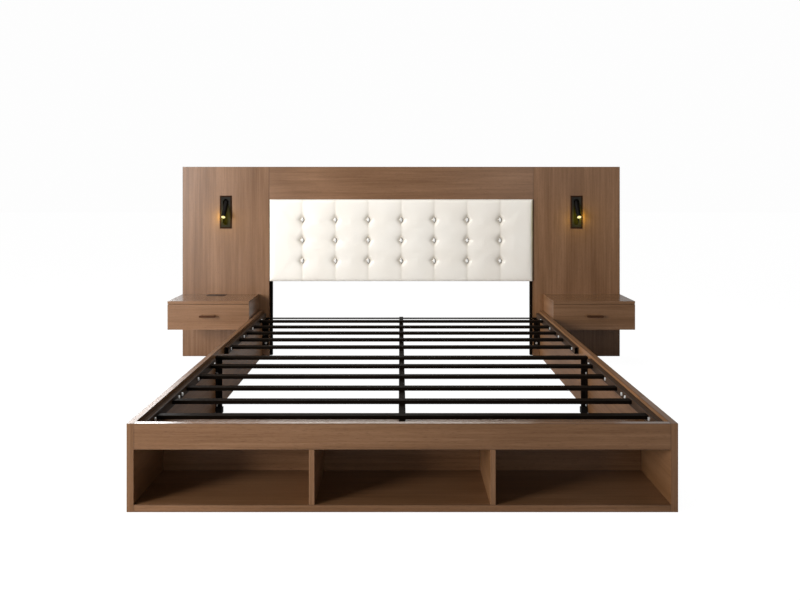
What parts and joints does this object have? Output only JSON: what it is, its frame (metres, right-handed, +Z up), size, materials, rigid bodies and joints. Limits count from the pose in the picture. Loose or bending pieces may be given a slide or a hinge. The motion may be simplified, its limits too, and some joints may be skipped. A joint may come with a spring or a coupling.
{
  "type": "bed with attached nightstands",
  "caption": "Wooden storage bed with a slatted steel deck, a buttoned cushion on a wide headboard, hanging nightstands with drawers and swing-out reading lamps.",
  "frame": {"origin": "on the floor, under the middle of the whole footprint", "axes": "+Z up, +Y from the foot of the bed to its headboard, +X across the bed, to the right for a viewer at the foot"},
  "size_m": [2.47, 2.12, 1.07],
  "materials": {
    "walnut_level": "satin veneer, grain running level",
    "walnut_upright": "satin veneer, grain running upright",
    "walnut_inner": "matt veneer",
    "drawer_box": "matt foil",
    "plywood": "raw",
    "black_steel": "satin powder coat",
    "bright_steel": "plated",
    "runner_steel": "zinc plated",
    "white_leather": "smooth semi-gloss",
    "crystal": "faceted, silver backed",
    "dark_bronze": "satin dark bronze",
    "black_plastic": "matt",
    "gloss_black": "gloss",
    "lamp_black": "satin black",
    "lamp_glow": "glowing diffuser"
  },
  "bodies": {
    "root": {"headboard_panel_left": "walnut_upright", "headboard_panel_right": "walnut_upright", "headboard_top_board": "walnut_level", "headboard_posts": "black_steel", "headboard_bars": "black_steel", "headboard_screws": "bright_steel", "cushion_backing": "plywood", "headboard_cushion": "white_leather", "cushion_buttons": "crystal", "footboard_side_left": "walnut_level", "footboard_side_right": "walnut_level", "footboard_apron": "walnut_level", "footboard_floor": "walnut_level", "footboard_cover": "walnut_inner", "footboard_back": "walnut_inner", "footboard_dividers": "walnut_inner", "side_rail_left": "walnut_level", "side_rail_right": "walnut_level", "deck_ledges": "black_steel", "slats_foot": "black_steel", "slats_head": "black_steel", "mid_bar": "black_steel", "head_bar_strip": "black_steel", "centre_beam": "black_steel", "side_legs": "black_steel", "centre_legs": "black_steel", "leg_feet": "black_plastic", "deck_brackets": "black_steel", "deck_bolts": "bright_steel", "socket_panel": "gloss_black", "left_stand_top": "walnut_level", "left_stand_sides": "walnut_level", "left_stand_floor": "walnut_inner", "left_stand_back": "walnut_inner", "left_runner_fixed": "runner_steel", "left_lamp_housing": "lamp_black", "left_lamp_pin": "bright_steel", "right_stand_top": "walnut_level", "right_stand_sides": "walnut_level", "right_stand_floor": "walnut_inner", "right_stand_back": "walnut_inner", "right_runner_fixed": "runner_steel", "right_lamp_housing": "lamp_black", "right_lamp_pin": "bright_steel"},
    "left_drawer": {"left_drawer_front": "walnut_level", "left_drawer_walls": "drawer_box", "left_drawer_floor": "drawer_box", "left_drawer_handle": "dark_bronze", "left_runner_drawer": "runner_steel"},
    "left_runner": {"left_runner_middle": "runner_steel"},
    "left_lamp": {"left_lamp_tube": "lamp_black", "left_lamp_lens": "lamp_glow"},
    "right_drawer": {"right_drawer_front": "walnut_level", "right_drawer_walls": "drawer_box", "right_drawer_floor": "drawer_box", "right_drawer_handle": "dark_bronze", "right_runner_drawer": "runner_steel"},
    "right_runner": {"right_runner_middle": "runner_steel"},
    "right_lamp": {"right_lamp_tube": "lamp_black", "right_lamp_lens": "lamp_glow"}
  },
  "joints": [
    {"name": "left_drawer_slide", "type": "slide", "parent": "root", "child": "left_drawer", "axis": [0, -1, 0], "range_m": [0, 0.2]},
    {"name": "left_runner_slide", "type": "slide", "parent": "root", "child": "left_runner", "axis": [0, -1, 0], "range_m": [0, 0.1]},
    {"name": "left_lamp_swing", "type": "hinge", "parent": "root", "child": "left_lamp", "pos_m": [-0.9905, 1.016, 0.8715], "axis": [-1, 0, 0], "range_deg": [-42, 48]},
    {"name": "right_drawer_slide", "type": "slide", "parent": "root", "child": "right_drawer", "axis": [0, -1, 0], "range_m": [0, 0.2]},
    {"name": "right_runner_slide", "type": "slide", "parent": "root", "child": "right_runner", "axis": [0, -1, 0], "range_m": [0, 0.1]},
    {"name": "right_lamp_swing", "type": "hinge", "parent": "root", "child": "right_lamp", "pos_m": [0.9905, 1.016, 0.8715], "axis": [-1, 0, 0], "range_deg": [-42, 48]}
  ],
  "couplings": [
    {"joint": "left_runner_slide", "follows": "left_drawer_slide", "ratio": 0.5},
    {"joint": "right_runner_slide", "follows": "right_drawer_slide", "ratio": 0.5}
  ]
}
